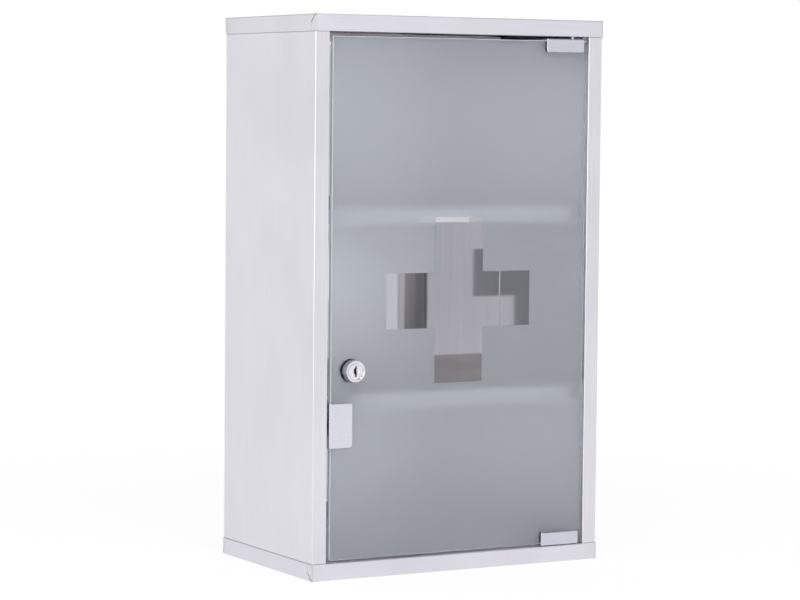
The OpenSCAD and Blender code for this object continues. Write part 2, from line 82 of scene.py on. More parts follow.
def noiseAt(tree, coords, sizes, detail=2.0, rough=0.5):     # sizes: the pattern's width along X, Y and Z
    mapping = addNode(tree, "ShaderNodeMapping", {"Scale": [1 / s for s in sizes]}, {"Vector": coords})
    noise = addNode(tree, "ShaderNodeTexNoise", {"Scale": 1.0, "Detail": detail, "Roughness": rough},
                    {"Vector": mapping.outputs["Vector"]})
    return noise.outputs["Fac"]


# A pattern's start to end becomes low to high. Most noise lies between 0.3 and 0.7.
def spread(low, high, start=0.3, end=0.7):
    return {"From Min": start, "From Max": end, "To Min": low, "To Max": high}


# These two set the shader from a pattern and return what they set, for finishes that go on from there.
def tintWith(tree, shader, pattern, tones, fade=(0.3, 0.7)):
    share = addNode(tree, "ShaderNodeMapRange", spread(0.0, 1.0, *fade), {"Value": pattern}).outputs[0]
    colors = {6: linearColor(tones[0]), 7: linearColor(tones[1])}
    blend = addNode(tree, "ShaderNodeMix", colors, {0: share}, data_type="RGBA")
    tree.links.new(blend.outputs[2], shader.inputs["Base Color"])
    return blend.outputs[2]


def roughenWith(tree, shader, pattern, low, high):
    rough = addNode(tree, "ShaderNodeMapRange", spread(low, high), {"Value": pattern})
    tree.links.new(rough.outputs[0], shader.inputs["Roughness"])
    return rough.outputs[0]


def dress(nodeNames, material):               # gives CAD nodes their finish
    for name in nodeNames:
        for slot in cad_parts[name].material_slots:
            slot.material = material


# Materials

# The seam band under the caps is painted dark: dust in the joint and painted shade below the cap's step.
brushed = {"tones": ("DCDAE1", "E5E3EA"), "tintFade": (0.15, 0.4), "grainWidth": 0.9 * mm,
           "grainLength": 70 * mm, "cloud": 90 * mm,
           "innerTone": "F9F3F6", "skin": 0.45 * mm, "bump": 0.12, "depth": 0.02 * mm,
           "seamFrom": 234.2 * mm, "seamTo": 235.1 * mm, "jointDustShadeTone": "504E52",
           "rubbedTo": 24 * mm, "rubbedFade": 34 * mm, "rubbedRough": 0.3}


def grain(tree, coords, axis):                # brushing marks, drawn wider than real grit to show
    sizes = [brushed["grainWidth"]] * 3
    sizes[axis] = brushed["grainLength"]
    return noiseAt(tree, coords, sizes, detail=3.0, rough=0.6)


def outerSkin(tree, coords, nodeName):        # 1 on the outside of a folded sheet, 0 on its inside
    low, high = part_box(nodeName)
    centre = (low + high) / 2
    reach = (high - low) / 2 - Vector([brushed["skin"]] * 3)
    moved = addNode(tree, "ShaderNodeVectorMath", {1: centre}, {0: coords}, operation="SUBTRACT")
    folded = addNode(tree, "ShaderNodeVectorMath", {}, {0: moved.outputs[0]}, operation="ABSOLUTE")
    beyond = addNode(tree, "ShaderNodeVectorMath", {1: reach}, {0: folded.outputs[0]}, operation="SUBTRACT")
    parts = addNode(tree, "ShaderNodeSeparateXYZ", {}, {0: beyond.outputs[0]}).outputs
    widest = addNode(tree, "ShaderNodeMath", {}, {0: parts[0], 1: parts[1]}, operation="MAXIMUM")
    widest = addNode(tree, "ShaderNodeMath", {}, {0: widest.outputs[0], 1: parts[2]}, operation="MAXIMUM")
    outside = addNode(tree, "ShaderNodeMath", {1: 0.0}, {0: widest.outputs[0]}, operation="GREATER_THAN")
    return outside.outputs[0]


def jointDustAndShade(tree, coords, nodeName):        # 1 in the joint under a cap, where dust gathers and shade falls, painted dark, 0 elsewhere
    height = addNode(tree, "ShaderNodeSeparateXYZ", {}, {0: coords}).outputs[2]
    offset = addNode(tree, "ShaderNodeMath", {1: centreOf(nodeName).z}, {0: height}, operation="SUBTRACT")
    away = addNode(tree, "ShaderNodeMath", {}, {0: offset.outputs[0]}, operation="ABSOLUTE").outputs[0]
    values = {"From Min": brushed["seamFrom"], "From Max": brushed["seamTo"]}
    shade = addNode(tree, "ShaderNodeMapRange", values, {"Value": away}, interpolation_type="SMOOTHSTEP")
    return shade.outputs["Result"]


def rubbedFront(tree, coords, nodeName):      # 1 inside the front folds, rubbed by the press, 0 behind them
    low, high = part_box(nodeName)
    depth = addNode(tree, "ShaderNodeSeparateXYZ", {}, {0: coords}).outputs[1]
    fade = spread(1.0, 0.0, low.y + brushed["rubbedTo"], low.y + brushed["rubbedFade"])
    return addNode(tree, "ShaderNodeMapRange", fade, {"Value": depth}).outputs[0]


# The seam's tone is painted dark for its dirt and shade, and the fold's tone is painted shade that dulls
# the highlight on the upright folds.
capCorner = {"tab": 8 * mm, "rise": 7.5 * mm, "reach": 1.5 * mm, "lineFrom": 0.3 * mm, "lineTo": 0.75 * mm,
             "tone": "4E4C48", "bend": 1.2 * mm, "foldShadeTone": "CDCBD1", "foldRough": 0.65}


# Two masks: the open seam beside a cap's front corners, where dirt gathers and shade falls, painted dark,
# and the corners' upright folds, painted darker as shade over their highlight.
def cornerShades(tree, coords, nodeName):
    low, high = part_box(nodeName)
    edge = high.z if nodeName == "top_cap" else low.z
    parts = addNode(tree, "ShaderNodeSeparateXYZ", {}, {0: coords}).outputs
    aside = addNode(tree, "ShaderNodeMath", {}, {0: parts[0]}, operation="ABSOLUTE").outputs[0]
    along = addNode(tree, "ShaderNodeMath", {1: low.y}, {0: parts[1]}, operation="SUBTRACT").outputs[0]
    offset = addNode(tree, "ShaderNodeMath", {1: edge}, {0: parts[2]}, operation="SUBTRACT").outputs[0]
    down = addNode(tree, "ShaderNodeMath", {}, {0: offset}, operation="ABSOLUTE").outputs[0]
    slant = addNode(tree, "ShaderNodeMath", {1: capCorner["rise"] / capCorner["tab"]}, {0: along},
                    operation="MULTIPLY").outputs[0]
    off = addNode(tree, "ShaderNodeMath", {}, {0: down, 1: slant}, operation="SUBTRACT").outputs[0]
    off = addNode(tree, "ShaderNodeMath", {}, {0: off}, operation="ABSOLUTE").outputs[0]
    fade = spread(1.0, 0.0, capCorner["lineFrom"], capCorner["lineTo"])
    line = addNode(tree, "ShaderNodeMapRange", fade, {"Value": off}).outputs[0]
    atEnd = addNode(tree, "ShaderNodeMath", {1: high.x - capCorner["reach"]}, {0: aside},
                    operation="GREATER_THAN").outputs[0]
    inTab = addNode(tree, "ShaderNodeMath", {1: capCorner["tab"]}, {0: along},
                    operation="LESS_THAN").outputs[0]
    seam = addNode(tree, "ShaderNodeMath", {}, {0: line, 1: atEnd}, operation="MULTIPLY").outputs[0]
    seam = addNode(tree, "ShaderNodeMath", {}, {0: seam, 1: inTab}, operation="MULTIPLY").outputs[0]
    inBend = addNode(tree, "ShaderNodeMath", {1: capCorner["bend"]}, {0: along},
                     operation="LESS_THAN").outputs[0]
    fold = addNode(tree, "ShaderNodeMath", {}, {0: atEnd, 1: inBend}, operation="MULTIPLY").outputs[0]
    return seam, fold


# Stainless steel sheet, folded: the outside is satin brushed along the sheet, which draws soft
# streaks in one direction, and the inside keeps the mill's bright finish, nearly a mirror.
def brushedStainless(nodeName, sheet):
    material, tree, shader, coords = startMaterial("brushedStainless_" + nodeName, {"Metallic": 1.0})
    streaks = grain(tree, coords, sheet["grainAxis"])
    cloud = noiseAt(tree, coords, [brushed["cloud"]] * 3)
    skin = outerSkin(tree, coords, nodeName)
    outside = roughenWith(tree, shader, streaks, *sheet["outerRough"])
    if sheet["innerMetal"] < 1:
        metal = addNode(tree, "ShaderNodeMix", {2: sheet["innerMetal"], 3: 1.0}, {0: skin})
        tree.links.new(metal.outputs[0], shader.inputs["Metallic"])
    if sheet["capped"]:
        rubbed = rubbedFront(tree, coords, nodeName)
        inside = addNode(tree, "ShaderNodeMapRange", spread(sheet["innerRough"], brushed["rubbedRough"]),
                         {"Value": rubbed}).outputs[0]
        roughness = addNode(tree, "ShaderNodeMix", {}, {0: skin, 2: inside, 3: outside}).outputs[0]
    else:
        dirtAndShadeSeam, shadedFold = cornerShades(tree, coords, nodeName)
        roughness = addNode(tree, "ShaderNodeMix", {2: sheet["innerRough"]},
                            {0: skin, 3: outside}).outputs[0]
        roughness = addNode(tree, "ShaderNodeMix", {3: capCorner["foldRough"]},
                            {0: shadedFold, 2: roughness}).outputs[0]
    patchy = addNode(tree, "ShaderNodeMath", {}, {0: streaks, 1: cloud}, operation="MULTIPLY").outputs[0]
    tone = tintWith(tree, shader, patchy, brushed["tones"], brushed["tintFade"])
    color = addNode(tree, "ShaderNodeMix", {6: linearColor(brushed["innerTone"])}, {0: skin, 7: tone},
                    data_type="RGBA")
    if sheet["capped"]:
        # painted shade and dust: a dark line in the joint under the caps
        shade = jointDustAndShade(tree, coords, nodeName)
        color = addNode(tree, "ShaderNodeMix", {7: linearColor(brushed["jointDustShadeTone"])},
                        {0: shade, 6: color.outputs[2]}, data_type="RGBA")
    else:
        # painted shade: the upright folds are drawn darker so that they catch no highlight
        color = addNode(tree, "ShaderNodeMix", {7: linearColor(capCorner["foldShadeTone"])},
                        {0: shadedFold, 6: color.outputs[2]}, data_type="RGBA")
        # painted shade and dirt: the open seam beside the corners is drawn dark
        color = addNode(tree, "ShaderNodeMix", {7: linearColor(capCorner["tone"])},
                        {0: dirtAndShadeSeam, 6: color.outputs[2]}, data_type="RGBA")
    tree.links.new(color.outputs[2], shader.inputs["Base Color"])
    tree.links.new(roughness, shader.inputs["Roughness"])
    bump = addNode(tree, "ShaderNodeBump", {"Strength": brushed["bump"], "Distance": brushed["depth"]},
                   {"Height": streaks})
    tree.links.new(bump.outputs["Normal"], shader.inputs["Normal"])
    return material


shelving = {"tones": ("E4DFE3", "F2EEF3"), "rough": (0.13, 0.21), "grainWidth": 0.9 * mm,
            "grainLength": 60 * mm, "glancing": "9C9084", "metal": 0.78}


# Stainless steel shelves, brushed along their length: soft mirrors that turn a warm grey at a low angle.
# The brushing is drawn wider than real grit to show.
def shelfStainless():
    values = {"Metallic": shelving["metal"], "Specular Tint": linearColor(shelving["glancing"])}
    material, tree, shader, coords = startMaterial("shelfStainless", values)
    sizes = (shelving["grainLength"], shelving["grainWidth"], shelving["grainWidth"])
    lines = noiseAt(tree, coords, sizes, detail=3.0)
    tintWith(tree, shader, lines, shelving["tones"])
    roughenWith(tree, shader, lines, *shelving["rough"])
    return material


bright = {"tones": ("F7F1F4", "FCF7FA"), "rough": (0.03, 0.05),
          "grainWidth": 2.5 * mm, "grainLength": 120 * mm, "wave": 130 * mm, "waveDepth": 0.25 * mm,
          "middle": 250 * mm, "dullFrom": (231 * mm, 233 * mm), "dullTo": (238.4 * mm, 239.4 * mm),
          "dullRough": 0.55, "dullMetal": 0.0, "dullWave": 1.2 * mm, "dullSize": 70 * mm}


def dullBand(tree, coords):                   # 1 along the sheet's ends, where the press has dulled it
    height = addNode(tree, "ShaderNodeSeparateXYZ", {}, {0: coords}).outputs[2]
    offset = addNode(tree, "ShaderNodeMath", {1: bright["middle"]}, {0: height}, operation="SUBTRACT")
    away = addNode(tree, "ShaderNodeMath", {}, {0: offset.outputs[0]}, operation="ABSOLUTE").outputs[0]
    drift = noiseAt(tree, coords, [bright["dullSize"]] * 3)
    wander = addNode(tree, "ShaderNodeMapRange", spread(0.0, bright["dullWave"]), {"Value": drift})
    place = addNode(tree, "ShaderNodeMath", {}, {0: away, 1: wander.outputs[0]},
                    operation="ADD").outputs[0]
    start = addNode(tree, "ShaderNodeMapRange", spread(0.0, 1.0, *bright["dullFrom"]), {"Value": place})
    end = addNode(tree, "ShaderNodeMapRange", spread(1.0, 0.0, *bright["dullTo"]), {"Value": place})
    return addNode(tree, "ShaderNodeMath", {}, {0: start.outputs[0], 1: end.outputs[0]},
                   operation="MULTIPLY").outputs[0]


# Stainless steel sheet as the mill rolled it: bright, with very faint lines along the rolling,
# and dull along the ends that the caps grip.
def brightStainless():
    material, tree, shader, coords = startMaterial("brightStainless", {})
    dull = dullBand(tree, coords)
    metal = addNode(tree, "ShaderNodeMix", {2: 1.0, 3: bright["dullMetal"]}, {0: dull})
    tree.links.new(metal.outputs[0], shader.inputs["Metallic"])
    sizes = (bright["grainWidth"], bright["grainWidth"], bright["grainLength"])
    lines = noiseAt(tree, coords, sizes, detail=3.0)
    tintWith(tree, shader, lines, bright["tones"])
    shiny = roughenWith(tree, shader, lines, *bright["rough"])
    rough = addNode(tree, "ShaderNodeMix", {3: bright["dullRough"]}, {0: dull, 2: shiny})
    tree.links.new(rough.outputs[0], shader.inputs["Roughness"])
    wave = noiseAt(tree, coords, [bright["wave"]] * 3, detail=0.0)      # thin sheet is never quite flat
    bump = addNode(tree, "ShaderNodeBump", {"Strength": 1.0, "Distance": bright["waveDepth"]},
                   {"Height": wave})
    tree.links.new(bump.outputs["Normal"], shader.inputs["Normal"])
    return material


satin = {"tones": ("DAD8DF", "E5E3E9"), "rough": (0.3, 0.42), "grainAxis": 2}


# Stainless steel sheet brushed along its length, for the face that lies on the wall: even upright streaks.
def satinStainless():
    material, tree, shader, coords = startMaterial("satinStainless", {"Metallic": 1.0})
    streaks = grain(tree, coords, satin["grainAxis"])
    tintWith(tree, shader, streaks, satin["tones"])
    roughenWith(tree, shader, streaks, *satin["rough"])
    bump = addNode(tree, "ShaderNodeBump", {"Strength": brushed["bump"], "Distance": brushed["depth"]},
                   {"Height": streaks})
    tree.links.new(bump.outputs["Normal"], shader.inputs["Normal"])
    return material


# The clips' tones are the handle's nickel made darker: painted shade on the clips.
plating = {"handle": ("D8D8E3", "DEDEE9"), "clips": ("CBCBD8", "D1D1DE"), "rough": (0.24, 0.32),
           "grit": 0.8 * mm}


# Steel plated with satin nickel: fine and even, with a soft sheen. The grit is drawn coarser than real.
def satinNickel(name, tones):
    material, tree, shader, coords = startMaterial(name, {"Metallic": 1.0})
    grit = noiseAt(tree, coords, [plating["grit"]] * 3, detail=3.0)
    tintWith(tree, shader, grit, tones)
    roughenWith(tree, shader, grit, *plating["rough"])
    return material


chromed = {"tones": ("E0DEE6", "ECEAF2"), "rough": (0.03, 0.06), "cloud": 3 * mm}


# Zinc die casting under bright chrome plate: a mirror with a slight waviness from the casting.
def chromePlate():
    material, tree, shader, coords = startMaterial("chromePlate", {"Metallic": 1.0})
    cloud = noiseAt(tree, coords, [chromed["cloud"]] * 3)
    tintWith(tree, shader, cloud, chromed["tones"])
    roughenWith(tree, shader, cloud, *chromed["rough"])
    return material


zinc = {"tones": ("B3B8BF", "C9CDD2"), "rough": (0.22, 0.36), "cloud": 1.6 * mm}


# Bright zinc plate on small steel parts: bluish, a little cloudy.
def zincPlate():
    material, tree, shader, coords = startMaterial("zincPlate", {"Metallic": 1.0})
    cloud = noiseAt(tree, coords, [zinc["cloud"]] * 3, detail=3.0)
    tintWith(tree, shader, cloud, zinc["tones"])
    roughenWith(tree, shader, cloud, *zinc["rough"])
    return material


bare = {"cloud": 1.2 * mm, "fade": (0.0, 1.0),
        "stampedBrass": {"tones": ("8A7044", "A88C58"), "rough": (0.3, 0.42)},
        "springWire": {"tones": ("A9ABB0", "BFC1C6"), "rough": (0.22, 0.34)}}


# Stamped brass and drawn spring wire: bare metal, a little cloudy from its making.
def bareMetal(name):
    material, tree, shader, coords = startMaterial(name, {"Metallic": 1.0})
    cloud = noiseAt(tree, coords, [bare["cloud"]] * 3)
    tintWith(tree, shader, cloud, bare[name]["tones"], bare["fade"])
    roughenWith(tree, shader, cloud, *bare[name]["rough"])
    return material


moulded = {"bump": 0.2, "depth": 0.03 * mm,
           "greySilicone": {"tones": ("B6B9BE", "C3C6CA"), "rough": (0.4, 0.5), "pore": 0.5 * mm},
           "blackRubber": {"tones": ("202022", "2B2B2D"), "rough": (0.55, 0.65), "pore": 0.5 * mm},
           "naturalNylon": {"tones": ("DAD9D2", "E6E5DF"), "rough": (0.38, 0.48), "pore": 0.6 * mm},
           "whiteAcetal": {"tones": ("E0E0DE", "E9E9E7"), "rough": (0.3, 0.4), "pore": 0.6 * mm},
           "pressedFerrite": {"tones": ("1C1C1E", "2A2A2C"), "rough": (0.6, 0.7), "pore": 0.4 * mm}}


# Moulded rubber, nylon and plastic, and pressed ferrite: a dull skin with pores, drawn coarser than real.
def mouldedPart(name):
    material, tree, shader, coords = startMaterial(name, {})
    pores = noiseAt(tree, coords, [moulded[name]["pore"]] * 3, detail=4.0)
    tintWith(tree, shader, pores, moulded[name]["tones"])
    roughenWith(tree, shader, pores, *moulded[name]["rough"])
    bump = addNode(tree, "ShaderNodeBump", {"Strength": moulded["bump"], "Distance": moulded["depth"]},
                   {"Height": pores})
    tree.links.new(bump.outputs["Normal"], shader.inputs["Normal"])
    return material


glass = {"clear": ("F3F7F8", "F6F9FA"), "ior": 1.5, "cloud": 60 * mm, "grit": 0.9 * mm,
         "frost": ("EFF4FD", "F2F7FF"), "frostRough": (0.55, 0.65), "frostShare": 0.68,
         "edge": ("C8CFD2", "D4DADD"), "edgeRough": (0.5, 0.6), "edgeShare": 0.35, "fade": (0.0, 1.0)}


# Float glass, fire polished: perfectly smooth, with the faint green of its iron.
def floatGlass():
    values = {"Transmission Weight": 1.0, "IOR": glass["ior"], "Roughness": 0.0}
    material, tree, shader, coords = startMaterial("floatGlass", values)
    cloud = noiseAt(tree, coords, [glass["cloud"]] * 3)
    tintWith(tree, shader, cloud, glass["clear"], glass["fade"])
    return material


# Sandblasted face of the glass: scatters what comes through, so that shapes close behind
# it show as soft shadows and those further off melt away. The grit is drawn coarser than real.
def sandblastedGlass():
    values = {"Transmission Weight": glass["frostShare"], "IOR": glass["ior"]}
    material, tree, shader, coords = startMaterial("sandblastedGlass", values)
    cloud = noiseAt(tree, coords, [glass["cloud"]] * 3)
    grit = noiseAt(tree, coords, [glass["grit"]] * 3, detail=3.0)
    tintWith(tree, shader, cloud, glass["frost"], glass["fade"])
    roughenWith(tree, shader, grit, *glass["frostRough"])
    return material


# Ground and seamed edge of the glass: a pale satin line.
def groundGlass():
    values = {"Transmission Weight": glass["edgeShare"], "IOR": glass["ior"]}
    material, tree, shader, coords = startMaterial("groundGlass", values)
    grit = noiseAt(tree, coords, [glass["grit"]] * 3, detail=3.0)
    tintWith(tree, shader, grit, glass["edge"], glass["fade"])
    roughenWith(tree, shader, grit, *glass["edgeRough"])
    return material


brightSteel = brightStainless()
shelfSteel = shelfStainless()
nickel = satinNickel("satinNickel", plating["handle"])
# the same satin nickel, darker, as painted shade on the clips
shadedClipNickel = satinNickel("satinNickelClipsShaded", plating["clips"])
chrome = chromePlate()
zincPlated = zincPlate()
padSilicone = mouldedPart("greySilicone")
rubber = mouldedPart("blackRubber")
nylon = mouldedPart("naturalNylon")
whiteShell = mouldedPart("whiteAcetal")
ferrite = mouldedPart("pressedFerrite")
brass = bareMetal("stampedBrass")
springWire = bareMetal("springWire")

# capped: the sheet stands in the caps, which leave a dark joint on it, painted as dust and painted shade
sideSheet = {"grainAxis": 2, "outerRough": (0.29, 0.39), "innerRough": 0.06, "innerMetal": 1.0,
             "capped": True}
capSheet = {"grainAxis": 0, "outerRough": (0.45, 0.55), "innerRough": 0.5, "innerMetal": 0.4,
            "capped": False}
for name in ("left_side_panel", "right_side_panel"):
    dress([name], brushedStainless(name, sideSheet))
for name in ("top_cap", "bottom_cap"):
    dress([name], brushedStainless(name, capSheet))
dress(["back_panel", "catch_bracket"], brightSteel)
dress(["upper_shelf", "lower_shelf"], shelfSteel)
dress(["upper_hinge_clip", "lower_hinge_clip"], shadedClipNickel)
dress(["handle"], nickel)
dress(["upper_hinge_pad", "lower_hinge_pad", "handle_pad", "lock_rear_washer"], padSilicone)
dress(["lock_front_washer"], rubber)
dress(["upper_pivot_bush", "lower_pivot_bush"], nylon)
dress(["catch_housing"], whiteShell)
dress(["catch_magnet"], ferrite)
dress(["catch_pole_plates", "catch_screws", "handle_screws", "cam_washer", "cam_screw", "lock_cam",
       "hinge_grub_screws", "upper_pivot_pin", "lower_pivot_pin"], zincPlated)
dress(["lock_housing", "lock_plug", "lock_nut"], chrome)
dress(["lock_wafers"], brass)
dress(["wafer_springs"], springWire)
print("materials on the CAD nodes")


# Modelling helpers

def deselectAll():
    if bpy.context.mode != "OBJECT":
        bpy.ops.object.mode_set(mode="OBJECT")
    bpy.ops.object.select_all(action="DESELECT")


def addBox(name, low, high):
    deselectAll()
    bpy.ops.mesh.primitive_cube_add(size=1, location=(Vector(low) + Vector(high)) / 2)
    piece = bpy.context.object
    piece.name = piece.data.name = name
    piece.scale = Vector(high) - Vector(low)
    bpy.ops.object.transform_apply(location=True, rotation=True, scale=True)
    return piece


def pickFaces(piece, test):                   # test(centre, normal)
    bpy.ops.object.mode_set(mode="OBJECT")
    bpy.context.tool_settings.mesh_select_mode = (False, False, True)
    mesh = piece.data
    for part in (*mesh.vertices, *mesh.edges):
        part.select = False
    for face in mesh.polygons:
        face.select = bool(test(face.center, face.normal))
    bpy.ops.object.mode_set(mode="EDIT")


def pickEdges(piece, test):                   # test(one end, other end)
    bpy.ops.object.mode_set(mode="OBJECT")
    bpy.context.tool_settings.mesh_select_mode = (False, True, False)
    mesh = piece.data
    points = [v.co for v in mesh.vertices]
    for part in (*mesh.vertices, *mesh.polygons):
        part.select = False
    for edge in mesh.edges:
        edge.select = bool(test(points[edge.vertices[0]], points[edge.vertices[1]]))
    bpy.ops.object.mode_set(mode="EDIT")


def roundEdges(piece, width, segments=3, angle=40):
    bpy.ops.object.mode_set(mode="OBJECT")
    bpy.context.view_layer.objects.active = piece
    bevel = piece.modifiers.new("bevel", "BEVEL")
    bevel.width = width
    bevel.segments = segments
    bevel.limit_method = "ANGLE"
    bevel.angle_limit = math.radians(angle)
    bpy.ops.object.modifier_apply(modifier=bevel.name)


def roundSome(piece, width, segments, test):  # rounds the edges for which test(end, end) holds
    pickEdges(piece, test)
    bpy.ops.mesh.bevel(offset=width, segments=segments, affect="EDGES")
    bpy.ops.object.mode_set(mode="OBJECT")


def cutWith(piece, cutter, operation="DIFFERENCE"):
    deselectAll()
    bpy.context.view_layer.objects.active = piece
    piece.select_set(True)
    hole = piece.modifiers.new("hole", "BOOLEAN")
    hole.operation = operation
    hole.solver = "EXACT"
    hole.object = cutter
    bpy.ops.object.modifier_apply(modifier=hole.name)
    bpy.data.objects.remove(cutter)


def drill(piece, place, radius, length, axis="Y", segments=48):
    turns = {"X": (0, math.pi / 2, 0), "Y": (math.pi / 2, 0, 0), "Z": (0, 0, 0)}
    deselectAll()
    bpy.ops.mesh.primitive_cylinder_add(vertices=segments, radius=radius, depth=length, location=place,
                                        rotation=turns[axis])
    cutWith(piece, bpy.context.object)


def finishPiece(piece, body, materials, nodes, angle=32):
    if bpy.context.mode != "OBJECT":
        bpy.ops.object.mode_set(mode="OBJECT")
    deselectAll()
    piece.select_set(True)
    bpy.context.view_layer.objects.active = piece
    bpy.ops.object.shade_smooth_by_angle(angle=math.radians(angle))
    level = piece.modifiers.new("level", "WEIGHTED_NORMAL")       # wide faces stay flat beside arrises
    level.keep_sharp = True
    bpy.ops.object.modifier_apply(modifier=level.name)
    for number, material in enumerate(materials):
        if number < len(piece.data.materials):
            piece.data.materials[number] = material
        else:
            piece.data.materials.append(material)
    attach(piece, body)
    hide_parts(*nodes)
    return piece


# Door glass

pane = {"arris": 0.5 * mm, "crossSize": 150 * mm, "crossArm": 50 * mm, "crossHeight": 246 * mm,
        "holeRadius": 8.3 * mm, "holeCut": 20 * mm, "facing": 0.99, "crease": 20}
lockAxis = centreOf("lock_housing")


def makeGlass():
    low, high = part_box("door_glass")
    piece = addBox("glass_pane", low, high)
    roundEdges(piece, pane["arris"], segments=1)
    centre = centreOf("door_glass")
    middle = Vector((centre.x, 0, pane["crossHeight"]))
    half, arm = pane["crossSize"] / 2, pane["crossArm"] / 2
    for offset in (-half, -arm, arm, half):
        for axis in (Vector((1, 0, 0)), Vector((0, 0, 1))):
            pickFaces(piece, lambda c, n: n.y > pane["facing"])
            bpy.ops.mesh.bisect(plane_co=middle + axis * offset, plane_no=axis)
    drill(piece, (lockAxis.x, centre.y, lockAxis.z), pane["holeRadius"], pane["holeCut"])
    for face in piece.data.polygons:
        across, up = abs(face.center.x - middle.x), abs(face.center.z - middle.z)
        inCross = max(across, up) < half and min(across, up) < arm
        if abs(face.normal.y) < pane["facing"]:
            face.material_index = 2           # the edge all round and the lock's hole
        elif face.normal.y > 0 and not inCross:
            face.material_index = 1           # the rear face, but for the cross
        else:
            face.material_index = 0
    finishPiece(piece, "door", [floatGlass(), sandblastedGlass(), groundGlass()],
                ["door_glass"], pane["crease"])


makeGlass()
print("glass pane")


# Back panel, drawn thicker towards the inside so that it covers the sides' flanges

back = {"press": 0.62 * mm, "hole": 3.25 * mm, "holeX": 100 * mm, "holeZ": 190 * mm, "cut": 6 * mm,
        "facing": 0.99}


def makeBack():
    low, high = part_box("back_panel")
    piece = addBox("rear_sheet", low, high)
    pickFaces(piece, lambda c, n: n.y < -back["facing"])
    bpy.ops.mesh.extrude_region_move(TRANSFORM_OT_translate={"value": (0, -back["press"], 0)})
    middle = centreOf("back_panel").z
    for x in (-back["holeX"], back["holeX"]):
        for z in (middle - back["holeZ"], middle + back["holeZ"]):
            drill(piece, (x, low.y, z), back["hole"], back["cut"])
    for face in piece.data.polygons:
        face.material_index = 1 if face.normal.y > back["facing"] else 0
    finishPiece(piece, "cabinet", [brightSteel, satinStainless()], ["back_panel"])


makeBack()
print("back panel")


# Clips and handle, folded from plate over the glass

folded = {"front": 1.2 * mm, "edgeRound": 1 * mm, "arris": 0.15 * mm, "cut": 1 * mm, "foldRound": 1.1 * mm,
          "roundSteps": 10, "crease": 11, "near": 1e-6}


# corners: radius at the free corners; openSide: the direction in which the channel is open
def foldedPlate(name, node, corners, rear, web, openSide):
    low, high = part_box(node)
    piece = addBox(name, low, high)
    side = Vector(openSide)
    axis = 0 if side.x else 2
    other = 2 - axis
    free = high[axis] if side[axis] > 0 else low[axis]
    fold = low[axis] if side[axis] > 0 else high[axis]

    def onEdge(a, b, place, through):         # an edge at this place, either through the plate or along it
        there = max(abs(a[axis] - place), abs(b[axis] - place)) < folded["near"]
        return there and (abs(a.y - b.y) > folded["near"]) == through

    roundSome(piece, corners, folded["roundSteps"], lambda a, b: onEdge(a, b, free, True))
    roundSome(piece, folded["foldRound"], folded["roundSteps"], lambda a, b: onEdge(a, b, fold, False))
    roundEdges(piece, folded["edgeRound"], segments=folded["roundSteps"])
    channelLow, channelHigh = low.copy(), high.copy()
    channelLow.y += folded["front"]
    channelHigh.y -= rear
    channelLow[other] -= folded["cut"]
    channelHigh[other] += folded["cut"]
    if side[axis] > 0:
        channelLow[axis] += web
        channelHigh[axis] += folded["cut"]
    else:
        channelLow[axis] -= folded["cut"]
        channelHigh[axis] -= web
    cutWith(piece, addBox("channel", channelLow, channelHigh))
    return piece, low, high


clip = {"corner": 2 * mm, "rear": 3 * mm, "web": 1.2 * mm, "grubIn": (7 * mm, 19 * mm), "grubUp": 8.55 * mm,
        "bore": 1.5 * mm, "grubCut": 5 * mm, "pinCut": 3 * mm, "boreSides": 32}


def makeClip(name, node, pin, up):
    piece, low, high = foldedPlate(name, node, clip["corner"], clip["rear"], clip["web"], (0, 0, -up))
    fold = high.z if up > 0 else low.z
    for reach in clip["grubIn"]:
        place = (low.x + reach, high.y, fold - up * clip["grubUp"])
        drill(piece, place, clip["bore"], clip["grubCut"], segments=clip["boreSides"])
    pinAxis = centreOf(pin)
    drill(piece, (pinAxis.x, pinAxis.y, fold), clip["bore"], clip["pinCut"], "Z", clip["boreSides"])
    roundEdges(piece, folded["arris"], segments=2)
    finishPiece(piece, "door", [shadedClipNickel], [node], folded["crease"])


makeClip("upper_clip", "upper_hinge_clip", "upper_pivot_pin", 1)
makeClip("lower_clip", "lower_hinge_clip", "lower_pivot_pin", -1)

grip = {"corner": 3 * mm, "leg": 1.2 * mm, "web": 1.2 * mm, "legShort": 4 * mm, "screwIn": 4.7 * mm,
        "screwCut": 4 * mm, "spare": 1 * mm}


def makeHandle():
    piece, low, high = foldedPlate("pull_plate", "handle", grip["corner"], grip["leg"], grip["web"],
                                   (1, 0, 0))
    spare = Vector([grip["spare"]] * 3)
    cutLow = (high.x - grip["legShort"], high.y - grip["leg"] - spare.y, low.z - spare.z)
    cutWith(piece, addBox("leg_end", cutLow, high + spare))
    screwLine = centreOf("handle_screws").x
    for z in (low.z + grip["screwIn"], high.z - grip["screwIn"]):
        drill(piece, (screwLine, high.y, z), clip["bore"], grip["screwCut"], segments=clip["boreSides"])
    roundEdges(piece, folded["arris"], segments=2)
    finishPiece(piece, "door", [nickel], ["handle"], folded["crease"])


makeHandle()
print("clips and handle")


# Lock

